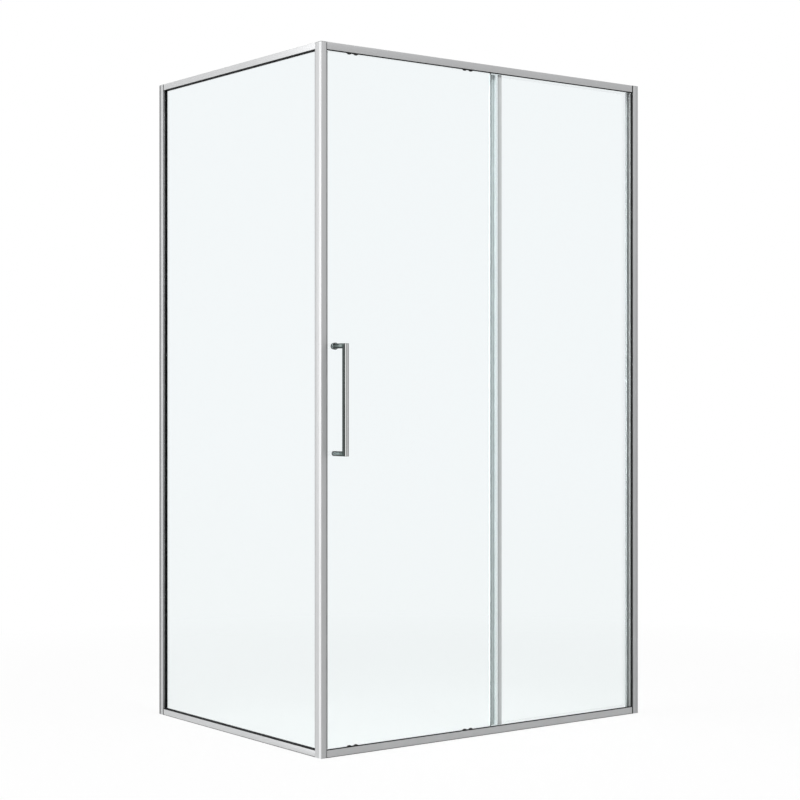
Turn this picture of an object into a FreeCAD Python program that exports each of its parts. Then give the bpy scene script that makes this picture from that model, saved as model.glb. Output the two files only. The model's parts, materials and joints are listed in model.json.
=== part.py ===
import FreeCAD, Part
import math
import os

# Shower enclosure: a framed front with a sliding door and a fixed pane, and a framed side panel.
# The front lies along X with its face at Y 0, and the side panel along Y with its face at X 0.
# Z rises from the tray, and the outer arris of their corner stands at X 0, Y 0 until export.
# Lengths are millimetres. Upper parts mirror lower ones about the middle of the height.

Vector = FreeCAD.Vector

# ---- overall ----
WIDTH = 1196.0  # front, from the corner arris to the wall
DEPTH = 884.0  # side, from the corner arris to the wall
HEIGHT = 1950.0
GLASS = 6.0
GLASS_ARRIS = 0.6  # ground chamfer on every edge of a pane

# ---- clearances ----
RUN_GAP = 0.3  # between pieces that pass each other
FIT_GAP = 0.1  # between pieces that slide together once
SEAT_GAP = 0.5  # behind a gasket in its pocket
BEARING_GAP = 0.05  # wheel bore over its axle
PAST = 1.0  # how far a cut runs past the wall it opens

# ---- front extrusions ----
SKIN = 1.4
EDGE = 0.8  # rounding of the outer arrises
RAIL_FACE = 20.5  # height of the front rails' face
MID_WEB = 18.0  # height of the web between the two tracks
REAR_WALL = 13.0  # height of the rail's inner side
CHAMBER = 4.0  # hollow along the rail's inner side
PORT_BLOCK = 7.6  # solid foot of that hollow, which has a screw port
PORT = 1.6
PORT_HEIGHT = 5.0
BEAD = 0.8  # half-round bead that the wheels run on
BACK_ROOM = 2.4  # from the door glass to the web behind it

# ---- wheels and carriages ----
TREAD_RADIUS = 5.7
TREAD_WIDTH = 3.1
FLANGE_RADIUS = 7.9
FLANGE_WIDTH = 1.0
AXLE_RADIUS = 1.5
AXLE_PROUD = 0.5  # axle end in front of its wheel
AXLE_ROOM = 0.5  # axle end to the inside of the rail's face
WHEEL_SPACING = 22.5
LOBE_RADIUS = 9.6
WAIST = 11.0  # height of the carriage between its lobes
PLATE = 2.2
GLASS_HOLE = 4.5
HOLE_SETBACK = 11.0  # carriage hole from the edge of the glass
CARRIAGE_LEAD = 84.0  # first carriage from the door's leading edge
CARRIAGE_TRAIL = 127.5  # second carriage from the door's trailing edge
BOSS = 5.6  # square boss of a carriage, through its hole
CLAMP = 1.8  # plate behind the glass that clamps the carriage
CLAMP_LENGTH = 28.0
CLAMP_HEIGHT = 14.0

# ---- gaskets, strips and seals ----
GASKET = 1.0
GASKET_BASE = 1.0
GASKET_PROUD = 1.0
SETTING_BLOCK = 3.0
SETTING_LENGTH = 60.0
SETTING_INSET = 120.0  # centre of a setting block from the end of its pane
WIPER_INSET = 0.8
WIPER = 2.8
STRIP_LEG = 1.1
STRIP_WALL = 1.5
STRIP_WIDTH = 13.5
REAR_GRIP = 6.0  # trailing strip over the back of the door glass
FIXED_GRIP = 12.7  # edge strip over the fixed glass
STRIP_BEVEL = 0.5
FIN_REACH = 1.8
STRIKE = 2.0
STRIKE_WIDTH = 8.0
SEAL_BULB = 3.7
SEAL_LEG = 0.8
SEAL_GRIP = 1.5
TRIM = 1.5
TRIM_WIDTH = 4.2
FILLER_WALL = 1.2

# ---- door and fixed pane ----
LIFT_ROOM = 2.0  # from the edge of the door glass to the rail's web
DOOR_WIDTH = 620.5
OVERLAP = 31.3  # door glass over the fixed glass

# ---- corner post and side panel ----
POST_DEPTH = 12.0
POST_FLANGE = 2.0
POST_CHAMFER = 4.0
POST_CHAMFER_DEPTH = 1.2
SIDE_SKIN = 1.0
SIDE_FACE = 18.0  # height of the side rails' face
STILE_FACE = 17.0
STILE_CHAMBER = 4.0
SIDE_SETBACK = 9.0  # side glass behind the frame's outer face
SIDE_GASKET_IN = 2.0
COVER = 2.2  # thickness of the side gasket's cover flange
SIDE_PROUD = 2.4  # side gasket over the edge of its pocket
COVER_INSET = 1.0
REAR_COVER = 3.0

# ---- wall profiles and jambs ----
WALL_SKIN = 1.5
FRONT_WALL_FACE = 20.5
SIDE_WALL_FACE = 22.0
JAMB_SHOWN = 4.5
SIDE_JAMB_SHOWN = 4.0
JAMB_LENGTH = 20.0
POCKET = 10.5
WALL_HOLE = 2.6
WALL_HOLE_OFFSET = 825.0  # outer wall holes, above and below the middle one
CAP = 1.5
PLUG = 5.0
PLUG_GAP = 0.2
INFILL_INSET = 0.3

# ---- end blocks and drains ----
BLOCK_LENGTH = 4.0
DRAIN_LENGTH = 14.0
DRAIN_WIDTH = 3.0
DRAINS = 5

# ---- handle ----
BAR = 13.5
BAR_ARRIS = 0.6
HANDLE_LENGTH = 307.0
HANDLE_REACH = 59.0  # outer face of the bar from the door glass
HANDLE_SETBACK = 24.75  # centre of the bar from the door's leading edge
COLLAR_RADIUS = 9.75
COLLAR = 5.0
PAD = 1.5
ROSETTE_RADIUS = 8.75
ROSETTE = 3.0
LOW_ROSETTE_RADIUS = 6.4
LOW_ROSETTE = 2.4
HANDLE_HOLE = 5.0
HANDLE_BOLT = 3.0

# ---- places across the front frame, from its face inwards ----
wheel_front = SKIN + AXLE_ROOM + AXLE_PROUD
flange_front = wheel_front + TREAD_WIDTH
wheel_back = flange_front + FLANGE_WIDTH
bead_place = wheel_front + TREAD_WIDTH / 2
track_reach = flange_front - RUN_GAP
plate_front = wheel_back + RUN_GAP
door_face = plate_front + PLATE
door_back = door_face + GLASS
mid_web = door_back + BACK_ROOM
pocket_front = mid_web + SKIN
fixed_face = pocket_front + GASKET
fixed_back = fixed_face + GLASS
pocket_back = fixed_back + GASKET
chamber_front = pocket_back + SKIN
port_place = chamber_front + CHAMBER / 2
frame_depth = chamber_front + CHAMBER + SKIN

# ---- heights in the lower rails ----
lip = RAIL_FACE - SKIN
wheel_axis = lip - BEAD - RUN_GAP - TREAD_RADIUS
door_edge = SKIN + LIFT_ROOM
hole_height = door_edge + HOLE_SETBACK
fixed_edge = SKIN + SETTING_BLOCK + GASKET_BASE
side_edge = SIDE_SKIN + SETTING_BLOCK + GASKET_BASE
strip_start = RAIL_FACE + WIPER + RUN_GAP
side_strip_start = SIDE_FACE + SIDE_PROUD + FIT_GAP
middle = HEIGHT / 2

# ---- places across the side frame, from its face inwards ----
side_pocket_front = SIDE_SETBACK - GASKET
side_back = SIDE_SETBACK + GLASS
side_pocket_back = side_back + SIDE_GASKET_IN
side_frame = side_pocket_back + SIDE_SKIN
post_width = side_frame + POST_FLANGE
side_wall_width = side_frame + FIT_GAP + WALL_SKIN
front_wall_width = frame_depth + FIT_GAP + WALL_SKIN
jamb_front = WALL_SKIN + FIT_GAP

# ---- places along the front ----
jamb_x = WIDTH - FRONT_WALL_FACE - JAMB_SHOWN
wall_x = WIDTH - FRONT_WALL_FACE
door_lead = post_width + STRIKE + RUN_GAP + SEAL_BULB
door_trail = door_lead + DOOR_WIDTH
door_strip = door_trail - STRIP_WIDTH
fixed_lead = door_trail - OVERLAP
fixed_end = jamb_x + POCKET - SEAT_GAP - GASKET_BASE
carriages = (door_lead + CARRIAGE_LEAD, door_trail - CARRIAGE_TRAIL)

# ---- places along the side ----
stile_y = POST_DEPTH + STILE_FACE
stile_pocket = POST_DEPTH + 2 * SIDE_SKIN + STILE_CHAMBER
side_lead = stile_pocket + SEAT_GAP + GASKET_BASE
jamb_y = DEPTH - SIDE_WALL_FACE - SIDE_JAMB_SHOWN
wall_y = DEPTH - SIDE_WALL_FACE
side_end = jamb_y + POCKET - SEAT_GAP - GASKET_BASE

# ---- handle ----
handle_x = door_lead + HANDLE_SETBACK
bar_face = door_face - HANDLE_REACH
handle_low = middle - HANDLE_LENGTH / 2
handle_high = middle + HANDLE_LENGTH / 2
mounts = (handle_low + BAR / 2, handle_high - BAR / 2)

# The part's own frame has its origin under the middle of its box.
origin = Vector(WIDTH / 2, (bar_face + DEPTH) / 2, 0)


def place(axis, along, u, v):
    """Point at a distance along an axis; u and v are the other two coordinates in X, Y, Z order."""
    return {"X": Vector(along, u, v), "Y": Vector(u, along, v), "Z": Vector(u, v, along)}[axis]


def loop(points, axis, along):
    """Closed wire through (u, v) points. A pair of points is an arc through the first to the second."""
    edges = []
    here = points[0]
    for item in points[1:]:
        if isinstance(item[0], tuple):
            bend, there = item
            ends = [place(axis, along, *point) for point in (here, bend, there)]
            edges.append(Part.Arc(*ends).toShape())
        else:
            there = item
            edges.append(Part.makeLine(place(axis, along, *here), place(axis, along, *there)))
        here = there
    if here != points[0]:
        edges.append(Part.makeLine(place(axis, along, *here), place(axis, along, *points[0])))
    return Part.Wire(edges)


def oblong(u0, v0, u1, v1):
    return [(u0, v0), (u1, v0), (u1, v1), (u0, v1)]


def arris():
    """Rounding of an outer corner at (0, 0), from its far side on v to (EDGE, 0)."""
    bend = EDGE * (1 - math.sqrt(0.5))
    return ((bend, bend), (EDGE, 0))


def extrusion(axis, start, end, outline, hollows=()):
    """Straight length of a section, with its closed hollows."""
    wires = [loop(points, axis, start) for points in (outline, *hollows)]
    face = Part.makeFace(wires, "Part::FaceMakerBullseye")
    return face.extrude(place(axis, end - start, 0, 0)).Solids[0]


def rod(axis, start, end, u, v, radius):
    base = place(axis, min(start, end), u, v)
    return Part.makeCylinder(radius, abs(end - start), base, place(axis, 1, 0, 0))


def slab(front, back, x, z, length, height):
    """Upright slab between two depths, centred on a place in the front's plane."""
    return Part.makeBox(length, back - front, height, Vector(x - length / 2, front, z - height / 2))


def drilled(shape, axis, start, end, u, v, radius):
    """The shape with a round hole right through the wall between start and end."""
    low, high = min(start, end) - PAST, max(start, end) + PAST
    return shape.cut(rod(axis, low, high, u, v, radius))


def overhead(shape):
    """The same piece at the other end of the height."""
    return shape.mirror(Vector(0, 0, middle), Vector(0, 0, 1))


def both(shape):
    """A lower piece and its upper twin."""
    return [shape, overhead(shape)]


def pane(corner, size, holes=()):
    """Toughened pane with ground arrises; each hole is (x, z, radius) through its thickness in Y."""
    sheet = Part.makeBox(*size, corner)
    sheet = sheet.makeChamfer(GLASS_ARRIS, sheet.Edges)
    for x, z, radius in holes:
        sheet = sheet.cut(rod("Y", corner.y - 1, corner.y + size[1] + 1, x, z, radius))
    return sheet


# ---------------------------------------------------------------- front frame


def front_rail(drained):
    """Two-track rail: the door runs behind its face on a beaded lip, the fixed pane stands behind."""
    outline = [
        (EDGE, 0),
        (frame_depth, 0),
        (frame_depth, REAR_WALL),
        (pocket_back, REAR_WALL),
        (pocket_back, SKIN),
        (pocket_front, SKIN),
        (pocket_front, MID_WEB),
        (mid_web, MID_WEB),
        (mid_web, SKIN),
        (SKIN, SKIN),
        (SKIN, lip),
        (bead_place - BEAD, lip),
        ((bead_place, lip - BEAD), (bead_place + BEAD, lip)),
        (track_reach, lip),
        (track_reach, RAIL_FACE),
        (0, RAIL_FACE),
        (0, EDGE),
        arris(),
    ]
    hollow = oblong(chamber_front, PORT_BLOCK, chamber_front + CHAMBER, REAR_WALL - SKIN)
    rail = extrusion("X", post_width, jamb_x, outline, [hollow])
    rail = drilled(rail, "X", post_width, jamb_x, port_place, PORT_HEIGHT, PORT)
    if drained:
        step = (jamb_x - post_width) / (DRAINS + 1)
        for number in range(1, DRAINS + 1):
            start = post_width + step * number - DRAIN_LENGTH / 2
            corner = Vector(start, door_back - DRAIN_WIDTH, -PAST)
            rail = rail.cut(Part.makeBox(DRAIN_LENGTH, DRAIN_WIDTH, SKIN + 2 * PAST, corner))
    return rail


def wiper():
    """Dark strip with a rounded back along the rail's outer edge."""
    shoulder = RAIL_FACE + WIPER / 2
    crown = ((WIPER_INSET + track_reach) / 2, RAIL_FACE + WIPER)
    outline = [
        (WIPER_INSET, RAIL_FACE),
        (track_reach, RAIL_FACE),
        (track_reach, shoulder),
        (crown, (WIPER_INSET, shoulder)),
    ]
    return extrusion("X", post_width, jamb_x, outline)


def filler():
    """Hollow strip that closes the inner track behind the opening."""
    near, far = pocket_front + FIT_GAP, pocket_back - FIT_GAP
    foot = SKIN + FIT_GAP
    wall = FILLER_WALL
    hollow = oblong(near + wall, foot + wall, far - wall, REAR_WALL - wall)
    outline = oblong(near, foot, far, REAR_WALL)
    return extrusion("X", post_width + FIT_GAP, fixed_lead - FIT_GAP, outline, [hollow])


def end_block(wall, inward):
    """Moulded stop that plugs the outer track beside an upright; inward is +1 or -1 along X."""
    near, far = SKIN + FIT_GAP, mid_web - FIT_GAP
    foot, top = SKIN + FIT_GAP, lip - BEAD - FIT_GAP
    bevel = BLOCK_LENGTH / 2
    outline = [(near, foot), (far, foot), (far, top - bevel), (far - bevel, top), (near, top)]
    return extrusion("X", wall, wall + inward * BLOCK_LENGTH, outline)


def corner_outline(depth):
    """Plan of the corner: rounded outer arris, bevelled inner edge and rear flange."""
    return [
        (EDGE, 0),
        (post_width - POST_CHAMFER, 0),
        (post_width, POST_CHAMFER_DEPTH),
        (post_width, frame_depth),
        (side_frame, frame_depth),
        (side_frame, depth),
        (0, depth),
        (0, EDGE),
        arris(),
    ]


def corner_post():
    """Hollow upright of the front frame; its rear flange carries the side panel."""
    hollow = oblong(SKIN, SKIN, side_frame, POST_DEPTH - SKIN)
    return extrusion("Z", 0, HEIGHT - CAP, corner_outline(POST_DEPTH), [hollow])


def corner_cap():
    """Cap over the post and the stile, with a plug in the post's hollow."""
    cap = extrusion("Z", HEIGHT - CAP, HEIGHT, corner_outline(stile_y))
    inset = SKIN + PLUG_GAP
    plug = oblong(inset, inset, side_frame - PLUG_GAP, POST_DEPTH - inset)
    return cap.fuse(extrusion("Z", HEIGHT - CAP - PLUG, HEIGHT - CAP, plug)).removeSplitter()


def strike_seal():
    """Soft strip on the post that the closed door meets."""
    near = (door_face + door_back - STRIKE_WIDTH) / 2
    far = near + STRIKE_WIDTH
    face = post_width + STRIKE
    bevel = STRIP_BEVEL
    outline = [
        (post_width, near),
        (face - bevel, near),
        (face, near + bevel),
        (face, far - bevel),
        (face - bevel, far),
        (post_width, far),
    ]
    return extrusion("Z", strip_start, HEIGHT - strip_start, outline)


# ---------------------------------------------------------------- uprights at the walls


def front_jamb():
    """Upright that slides in the wall profile, takes the rails' ends and holds the fixed pane's edge."""
    face = jamb_x + SKIN
    back = jamb_x + JAMB_LENGTH
    floor = jamb_x + POCKET
    outline = [
        (jamb_x, jamb_front),
        (back, jamb_front),
        (back, jamb_front + SKIN),
        (face, jamb_front + SKIN),
        (face, mid_web),
        (floor + SKIN, mid_web),
        (floor + SKIN, chamber_front),
        (face, chamber_front),
        (face, frame_depth - SKIN),
        (back, frame_depth - SKIN),
        (back, frame_depth),
        (jamb_x, frame_depth),
        (jamb_x, pocket_back),
        (floor, pocket_back),
        (floor, pocket_front),
        (jamb_x, pocket_front),
    ]
    return extrusion("Z", 0, HEIGHT - CAP, outline)


def side_jamb():
    """Upright that slides in the side wall profile and holds the side pane's rear edge."""
    face = jamb_y + SIDE_SKIN
    back = jamb_y + JAMB_LENGTH
    floor = jamb_y + POCKET
    inner = side_pocket_front - SIDE_SKIN
    outline = [
        (jamb_front, jamb_y),
        (side_pocket_front, jamb_y),
        (side_pocket_front, floor),
        (side_pocket_back, floor),
        (side_pocket_back, jamb_y),
        (side_frame, jamb_y),
        (side_frame, back),
        (side_pocket_back, back),
        (side_pocket_back, floor + SIDE_SKIN),
        (inner, floor + SIDE_SKIN),
        (inner, face),
        (jamb_front + SIDE_SKIN, face),
        (jamb_front + SIDE_SKIN, back),
        (jamb_front, back),
    ]
    return extrusion("Z", 0, HEIGHT - CAP, outline)


def wall_hole_heights():
    return (middle - WALL_HOLE_OFFSET, middle, middle + WALL_HOLE_OFFSET)


def front_wall_profile():
    """Channel against the wall beside the front."""
    width, skin = front_wall_width, WALL_SKIN
    outline = [
        (wall_x, 0),
        (WIDTH, 0),
        (WIDTH, width),
        (wall_x, width),
        (wall_x, width - skin),
        (WIDTH - skin, width - skin),
        (WIDTH - skin, skin),
        (wall_x, skin),
    ]
    profile = extrusion("Z", 0, HEIGHT - CAP, outline)
    for z in wall_hole_heights():
        profile = drilled(profile, "X", WIDTH - skin, WIDTH, width / 2, z, WALL_HOLE)
    return profile


def side_wall_profile():
    """Channel against the wall behind the side panel."""
    width, skin = side_wall_width, WALL_SKIN
    outline = [
        (0, wall_y),
        (skin, wall_y),
        (skin, DEPTH - skin),
        (width - skin, DEPTH - skin),
        (width - skin, wall_y),
        (width, wall_y),
        (width, DEPTH),
        (0, DEPTH),
    ]
    profile = extrusion("Z", 0, HEIGHT - CAP, outline)
    for z in wall_hole_heights():
        profile = drilled(profile, "Y", DEPTH - skin, DEPTH, width / 2, z, WALL_HOLE)
    return profile


def wall_caps():
    """Caps over each wall profile and the jamb that stands in it."""
    front = [
        (wall_x, 0),
        (WIDTH, 0),
        (WIDTH, front_wall_width),
        (wall_x, front_wall_width),
        (wall_x, frame_depth),
        (jamb_x, frame_depth),
        (jamb_x, jamb_front),
        (wall_x, jamb_front),
    ]
    side = [
        (0, wall_y),
        (jamb_front, wall_y),
        (jamb_front, jamb_y),
        (side_frame, jamb_y),
        (side_frame, wall_y),
        (side_wall_width, wall_y),
        (side_wall_width, DEPTH),
        (0, DEPTH),
    ]
    return [extrusion("Z", HEIGHT - CAP, HEIGHT, outline) for outline in (front, side)]


def corner_infills():
    """Dark pieces that fill the step between a rail's end and its wall profile."""
    front = oblong(jamb_x, INFILL_INSET, wall_x - FIT_GAP, jamb_front)
    side = oblong(INFILL_INSET, jamb_y, jamb_front, wall_y - FIT_GAP)
    return both(extrusion("Z", 0, RAIL_FACE, front)) + both(extrusion("Z", 0, SIDE_FACE, side))


def jamb_trim():
    """Dark strip along the jamb's outer edge."""
    face = jamb_x - TRIM
    bevel = STRIP_BEVEL
    far = jamb_front + TRIM_WIDTH
    outline = [
        (jamb_x, jamb_front),
        (jamb_x, far),
        (face + bevel, far),
        (face, far - bevel),
        (face, jamb_front + bevel),
        (face + bevel, jamb_front),
    ]
    return extrusion("Z", strip_start, HEIGHT - strip_start, outline)


# ---------------------------------------------------------------- fixed pane


def fixed_glass():
    corner = Vector(fixed_lead, fixed_face, fixed_edge)
    return pane(corner, (fixed_end - fixed_lead, GLASS, HEIGHT - 2 * fixed_edge))


def fixed_gasket():
    """Gasket in the lower rail's inner track; both legs stand a little above their webs."""
    foot = fixed_edge - GASKET_BASE
    outline = [
        (pocket_front, foot),
        (pocket_back, foot),
        (pocket_back, REAR_WALL + GASKET_PROUD),
        (fixed_back, REAR_WALL + GASKET_PROUD),
        (fixed_back, fixed_edge),
        (fixed_face, fixed_edge),
        (fixed_face, MID_WEB + GASKET_PROUD),
        (pocket_front, MID_WEB + GASKET_PROUD),
    ]
    return extrusion("X", fixed_lead, jamb_x, outline)


def jamb_gasket():
    """Gasket around the fixed pane's upright edge in the jamb."""
    base = fixed_end + GASKET_BASE
    outline = [
        (jamb_x, pocket_front),
        (base, pocket_front),
        (base, pocket_back),
        (jamb_x, pocket_back),
        (jamb_x, fixed_back),
        (fixed_end, fixed_back),
        (fixed_end, fixed_face),
        (jamb_x, fixed_face),
    ]
    foot = fixed_edge - GASKET_BASE
    return extrusion("Z", foot, HEIGHT - foot, outline)


def fixed_edge_strip():
    """Strip on the fixed pane's free edge; its fin reaches to the back of the door glass."""
    wall = fixed_lead - STRIP_WALL
    tip = fixed_lead + FIXED_GRIP
    front = fixed_face - STRIP_LEG
    back = fixed_back + STRIP_LEG
    fin = door_back + RUN_GAP
    outline = [
        (wall, front),
        (tip - STRIP_LEG, front),
        (tip - STRIP_LEG, fin),
        (tip, fin),
        (tip, fixed_face),
        (fixed_lead, fixed_face),
        (fixed_lead, fixed_back),
        (tip, fixed_back),
        (tip, back),
        (wall, back),
    ]
    return extrusion("Z", strip_start, HEIGHT - strip_start, outline)


def setting_blocks():
    """Pads that carry the weight of the two fixed panes in the lower rails."""
    pieces = []
    for x in (fixed_lead + SETTING_INSET, jamb_x - SETTING_INSET):
        corner = Vector(x - SETTING_LENGTH / 2, pocket_front + PLUG_GAP, SKIN)
        width = pocket_back - pocket_front - 2 * PLUG_GAP
        pieces.append(Part.makeBox(SETTING_LENGTH, width, SETTING_BLOCK, corner))
    for y in (stile_y + SETTING_INSET, jamb_y - SETTING_INSET):
        corner = Vector(side_pocket_front + PLUG_GAP, y - SETTING_LENGTH / 2, SIDE_SKIN)
        width = side_pocket_back - side_pocket_front - 2 * PLUG_GAP
        pieces.append(Part.makeBox(width, SETTING_LENGTH, SETTING_BLOCK, corner))
    return pieces


# ---------------------------------------------------------------- side panel


def side_rail():
    """Hollow lower rail with a pocket for the glass."""
    outline = [
        (EDGE, 0),
        (side_frame, 0),
        (side_frame, SIDE_FACE),
        (side_pocket_back, SIDE_FACE),
        (side_pocket_back, SIDE_SKIN),
        (side_pocket_front, SIDE_SKIN),
        (side_pocket_front, SIDE_FACE),
        (0, SIDE_FACE),
        (0, EDGE),
        arris(),
    ]
    hollow = oblong(SIDE_SKIN, SIDE_SKIN, side_pocket_front - SIDE_SKIN, SIDE_FACE - SIDE_SKIN)
    return extrusion("Y", stile_y, jamb_y, outline, [hollow])


def side_stile():
    """Hollow upright behind the post, with a pocket for the side pane's front edge."""
    outline = [
        (0, POST_DEPTH),
        (side_frame, POST_DEPTH),
        (side_frame, stile_y),
        (side_pocket_back, stile_y),
        (side_pocket_back, stile_pocket),
        (side_pocket_front, stile_pocket),
        (side_pocket_front, stile_y),
        (0, stile_y),
    ]
    front_end = POST_DEPTH + SIDE_SKIN
    web = stile_pocket - SIDE_SKIN
    inner = side_pocket_front - SIDE_SKIN
    hollows = [
        oblong(SIDE_SKIN, front_end, side_frame - SIDE_SKIN, web),
        oblong(SIDE_SKIN, stile_pocket, inner, stile_y - SIDE_SKIN),
    ]
    return extrusion("Z", 0, HEIGHT - CAP, outline, hollows)


def side_glass():
    corner = Vector(SIDE_SETBACK, side_lead, side_edge)
    return pane(corner, (GLASS, side_end - side_lead, HEIGHT - 2 * side_edge))


def side_gasket(axis, start, end, seat, face):
    """Gasket around the side pane's edge at seat, with a thin dark flange over the frame's face."""
    foot = seat - GASKET_BASE
    proud = face + SIDE_PROUD
    outline = [
        (side_pocket_front, foot),
        (side_pocket_back, foot),
        (side_pocket_back, proud),
        (side_back, proud),
        (side_back, seat),
        (SIDE_SETBACK, seat),
        (SIDE_SETBACK, face + COVER),
        (COVER_INSET, face + COVER),
        (COVER_INSET, face),
        (side_pocket_front, face),
    ]
    return extrusion(axis, start, end, outline)


def rear_side_gasket():
    """Gasket around the side pane's rear edge, with a narrow flange over the jamb."""
    base = side_end + GASKET_BASE
    cover = jamb_y - GASKET_PROUD
    outline = [
        (side_pocket_front, base),
        (side_pocket_front, jamb_y),
        (side_pocket_front - REAR_COVER, jamb_y),
        (side_pocket_front - REAR_COVER, cover),
        (SIDE_SETBACK, cover),
        (SIDE_SETBACK, side_end),
        (side_back, side_end),
        (side_back, jamb_y),
        (side_pocket_back, jamb_y),
        (side_pocket_back, base),
    ]
    return extrusion("Z", side_strip_start, HEIGHT - side_strip_start, outline)


# ---------------------------------------------------------------- door


def door_glass():
    holes = []
    for x in carriages:
        for z in (hole_height, HEIGHT - hole_height):
            holes.append((x, z, GLASS_HOLE))
    for z in mounts:
        holes.append((handle_x, z, HANDLE_HOLE))
    corner = Vector(door_lead, door_face, door_edge)
    return pane(corner, (DOOR_WIDTH, GLASS, HEIGHT - 2 * door_edge), holes)


def leading_seal():
    """Hollow bulb seal that grips the door's leading edge."""
    near, far = door_face - SEAL_LEG, door_back + SEAL_LEG
    centre = (door_face + door_back) / 2
    web = door_lead - SEAL_LEG
    grip = door_lead + SEAL_GRIP
    crown = door_lead - SEAL_BULB
    outline = [
        (grip, near),
        (web, near),
        ((crown, centre), (web, far)),
        (grip, far),
        (grip, door_back),
        (door_lead, door_back),
        (door_lead, door_face),
        (grip, door_face),
    ]
    hollow = [(web, near + SEAL_LEG), ((crown + SEAL_LEG, centre), (web, far - SEAL_LEG))]
    return extrusion("Z", strip_start, HEIGHT - strip_start, outline, [hollow])


def trailing_strip():
    """Strip on the door's trailing edge, with a fin on the fixed pane's side."""
    end = door_trail + STRIP_WALL
    near, far = door_face - STRIP_LEG, door_back + STRIP_LEG
    inner = door_trail - REAR_GRIP
    outline = [
        (door_strip, near),
        (end, near),
        (end, far),
        (inner + STRIP_LEG, far),
        (inner + STRIP_LEG, far + FIN_REACH),
        (inner, far + FIN_REACH),
        (inner, door_back),
        (door_trail, door_back),
        (door_trail, door_face),
        (door_strip, door_face),
    ]
    return extrusion("Z", strip_start, HEIGHT - strip_start, outline)


def wheel_places(centre):
    return (centre - WHEEL_SPACING / 2, centre + WHEEL_SPACING / 2)


def carriage(centre):
    """Lower carriage: a twin-lobed plate with two axles, and a boss through the glass to its clamp."""
    shape = slab(plate_front, door_face, centre, hole_height, WHEEL_SPACING, WAIST)
    for x in wheel_places(centre):
        shape = shape.fuse(rod("Y", plate_front, door_face, x, hole_height, LOBE_RADIUS))
        shape = shape.fuse(rod("Y", SKIN + AXLE_ROOM, plate_front, x, wheel_axis, AXLE_RADIUS))
    shape = shape.fuse(slab(door_face, door_back, centre, hole_height, BOSS, BOSS))
    clamp_back = door_back + CLAMP
    shape = shape.fuse(slab(door_back, clamp_back, centre, hole_height, CLAMP_LENGTH, CLAMP_HEIGHT))
    return shape.removeSplitter()


def wheel(x):
    """Lower wheel: its tread runs under the rail's bead, and its flange behind the lip."""
    bore = AXLE_RADIUS + BEARING_GAP
    outline = [
        (bore, wheel_front),
        (TREAD_RADIUS, wheel_front),
        (TREAD_RADIUS, flange_front),
        (FLANGE_RADIUS, flange_front),
        (FLANGE_RADIUS, wheel_back),
        (bore, wheel_back),
    ]
    section = Part.Face(loop(outline, "Z", 0))
    turned = section.revolve(Vector(0, 0, 0), Vector(0, 1, 0), 360).Solids[0]
    turned.translate(Vector(x, 0, wheel_axis))
    return turned


# ---------------------------------------------------------------- handle


def handle():
    """Square bar with two standoffs; the upper one ends in a round collar, the lower one at its pad."""
    back = bar_face + BAR
    high_end = door_face - COLLAR
    low_end = door_face - PAD
    outline = [
        (bar_face, handle_low),
        (low_end, handle_low),
        (low_end, handle_low + BAR),
        (back, handle_low + BAR),
        (back, handle_high - BAR),
        (high_end, handle_high - BAR),
        (high_end, handle_high),
        (bar_face, handle_high),
    ]
    left = handle_x - BAR / 2
    bar = extrusion("X", left, left + BAR, outline)
    edges = []
    for edge in bar.Edges:
        middle_point = edge.CenterOfMass
        across = edge.BoundBox.XLength > BAR / 2
        at_end = edge.BoundBox.YMin > back
        outer = middle_point.y < back - BAR_ARRIS
        if (across and outer) or not (across or at_end):
            edges.append(edge)
    bar = bar.makeChamfer(BAR_ARRIS, edges)
    return bar.fuse(rod("Y", high_end, door_face, handle_x, mounts[1], COLLAR_RADIUS)).removeSplitter()


def handle_pad():
    """Square pad between the lower standoff and the glass."""
    return slab(door_face - PAD, door_face, handle_x, mounts[0], BAR, BAR)


def handle_bolts():
    """Round-headed bolts behind the glass that pull the handle against it."""
    pieces = []
    for z, radius, depth in zip(mounts, (LOW_ROSETTE_RADIUS, ROSETTE_RADIUS), (LOW_ROSETTE, ROSETTE)):
        head = rod("Y", door_back, door_back + depth, handle_x, z, radius)
        pieces.append(head.fuse(rod("Y", door_face, door_back, handle_x, z, HANDLE_BOLT)).removeSplitter())
    return pieces


# ---------------------------------------------------------------- pieces and export


lower_carriages = [carriage(centre) for centre in carriages]
sill_gasket = fixed_gasket()
side_sill = side_rail()
side_sill_gasket = side_gasket("Y", stile_y, jamb_y, side_edge, SIDE_FACE)

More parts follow.
